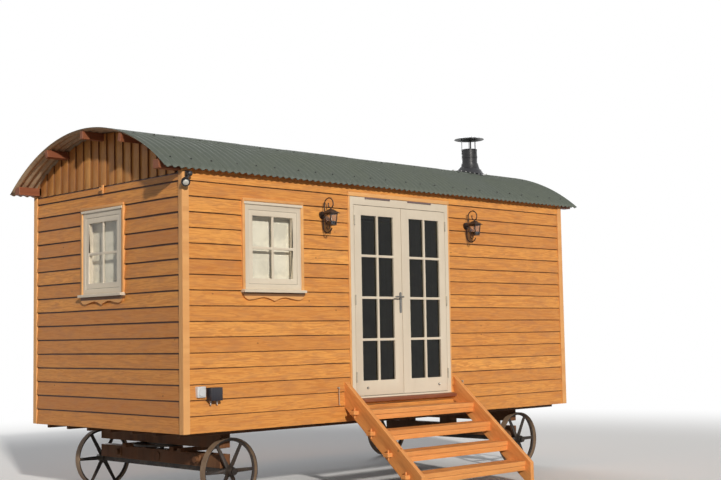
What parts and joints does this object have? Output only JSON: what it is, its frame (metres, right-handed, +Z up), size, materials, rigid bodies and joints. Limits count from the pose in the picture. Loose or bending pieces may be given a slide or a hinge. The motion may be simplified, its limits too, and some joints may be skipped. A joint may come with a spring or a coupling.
{
  "type": "shepherds hut",
  "caption": "Boarded timber hut on iron wheels, with a curved corrugated roof, glazed double doors, small-paned windows, wooden steps and a stove flue.",
  "frame": {"origin": "middle of the bounding box at ground level, with the wheels and the feet of the steps on the ground", "axes": "+Z up, +X along the hut away from its steered front axle, +Y from the door side to the back"},
  "size_m": [6.096, 3.74, 3.995],
  "materials": {
    "oiled_boards": "oiled sawn boards, orange brown",
    "floor_boards": "planed floor boards",
    "dark_timber": "weathered undercarriage timber",
    "red_timber": "red-brown stained timber",
    "step_timber": "oiled step timber",
    "joinery_paint": "painted joinery, warm off-white",
    "pale_lining": "pale lining boards",
    "roof_paint": "grey-green painted corrugated steel",
    "black_iron": "black iron",
    "wheel_iron": "worn cast iron",
    "flue_black": "matt black stove paint",
    "window_glass": "clear glass",
    "blind_cloth": "plain cream blind cloth",
    "lever_steel": "satin steel",
    "lantern_bronze": "dark bronze",
    "grey_plastic": "grey moulded plastic"
  },
  "bodies": {
    "hut": {"floor_deck": "floor_boards", "floor_joists": "dark_timber", "front_bolster": "dark_timber", "turntable_plate": "black_iron", "rear_axle_bed": "dark_timber", "rear_axle_iron": "black_iron", "door_wall_left": "oiled_boards", "door_wall_right": "oiled_boards", "door_wall_infill": "oiled_boards", "back_wall": "oiled_boards", "front_end_wall": "oiled_boards", "rear_end_wall": "oiled_boards", "front_gable": "oiled_boards", "rear_gable": "oiled_boards", "roof_sheets_a": "roof_paint", "roof_sheets_b": "roof_paint", "roof_purlins": "red_timber", "ceiling_lining": "pale_lining", "corner_trims": "oiled_boards", "window_frames": "joinery_paint", "window_sashes": "joinery_paint", "window_glass": "window_glass", "window_sills": "joinery_paint", "window_aprons": "oiled_boards", "window_blinds": "blind_cloth", "door_frame": "joinery_paint", "door_sill": "red_timber", "frame_hinges": "black_iron", "stair_stringers": "step_timber", "stair_treads": "step_timber", "stair_pegs": "step_timber", "cabin_hooks": "black_iron", "flue_stack": "flue_black", "lanterns": "lantern_bronze", "inlet_boxes": "grey_plastic", "security_light": "lantern_bronze"},
    "front_axle": {"front_axle_bed": "dark_timber", "front_axle_iron": "black_iron"},
    "front_near_wheel": {"wheel_front_near": "wheel_iron"},
    "front_far_wheel": {"wheel_front_far": "wheel_iron"},
    "rear_near_wheel": {"wheel_rear_near": "wheel_iron"},
    "rear_far_wheel": {"wheel_rear_far": "wheel_iron"},
    "left_door": {"left_leaf": "joinery_paint", "left_glass": "window_glass", "left_hinges": "black_iron", "handle_plates": "lever_steel"},
    "right_door": {"right_leaf": "joinery_paint", "right_glass": "window_glass", "right_hinges": "black_iron"},
    "lever": {"door_lever": "lever_steel"}
  },
  "joints": [
    {"name": "steering", "type": "hinge", "parent": "hut", "child": "front_axle", "pos_m": [-2.12, 0.475, 0.51], "axis": [0, 0, 1], "range_deg": [-30, 30]},
    {"name": "front_near_wheel_turn", "type": "hinge", "parent": "front_axle", "child": "front_near_wheel", "pos_m": [-2.12, -0.61, 0.31], "axis": [0, 1, 0], "continuous": true},
    {"name": "front_far_wheel_turn", "type": "hinge", "parent": "front_axle", "child": "front_far_wheel", "pos_m": [-2.12, 1.56, 0.31], "axis": [0, 1, 0], "continuous": true},
    {"name": "rear_near_wheel_turn", "type": "hinge", "parent": "hut", "child": "rear_near_wheel", "pos_m": [2.15, -0.61, 0.31], "axis": [0, 1, 0], "continuous": true},
    {"name": "rear_far_wheel_turn", "type": "hinge", "parent": "hut", "child": "rear_far_wheel", "pos_m": [2.15, 1.56, 0.31], "axis": [0, 1, 0], "continuous": true},
    {"name": "left_door_hinge", "type": "hinge", "parent": "hut", "child": "left_door", "pos_m": [-0.683, -0.858, 1.9115], "axis": [0, 0, -1], "range_deg": [0, 110]},
    {"name": "right_door_hinge", "type": "hinge", "parent": "hut", "child": "right_door", "pos_m": [0.687, -0.858, 1.9115], "axis": [0, 0, 1], "range_deg": [0, 110]},
    {"name": "lever_press", "type": "hinge", "parent": "left_door", "child": "lever", "pos_m": [-0.03, -0.828, 1.948], "axis": [0, -1, 0], "range_deg": [0, 35], "stiffness_Nm_per_rad": 2, "springref_deg": -28.65}
  ]
}
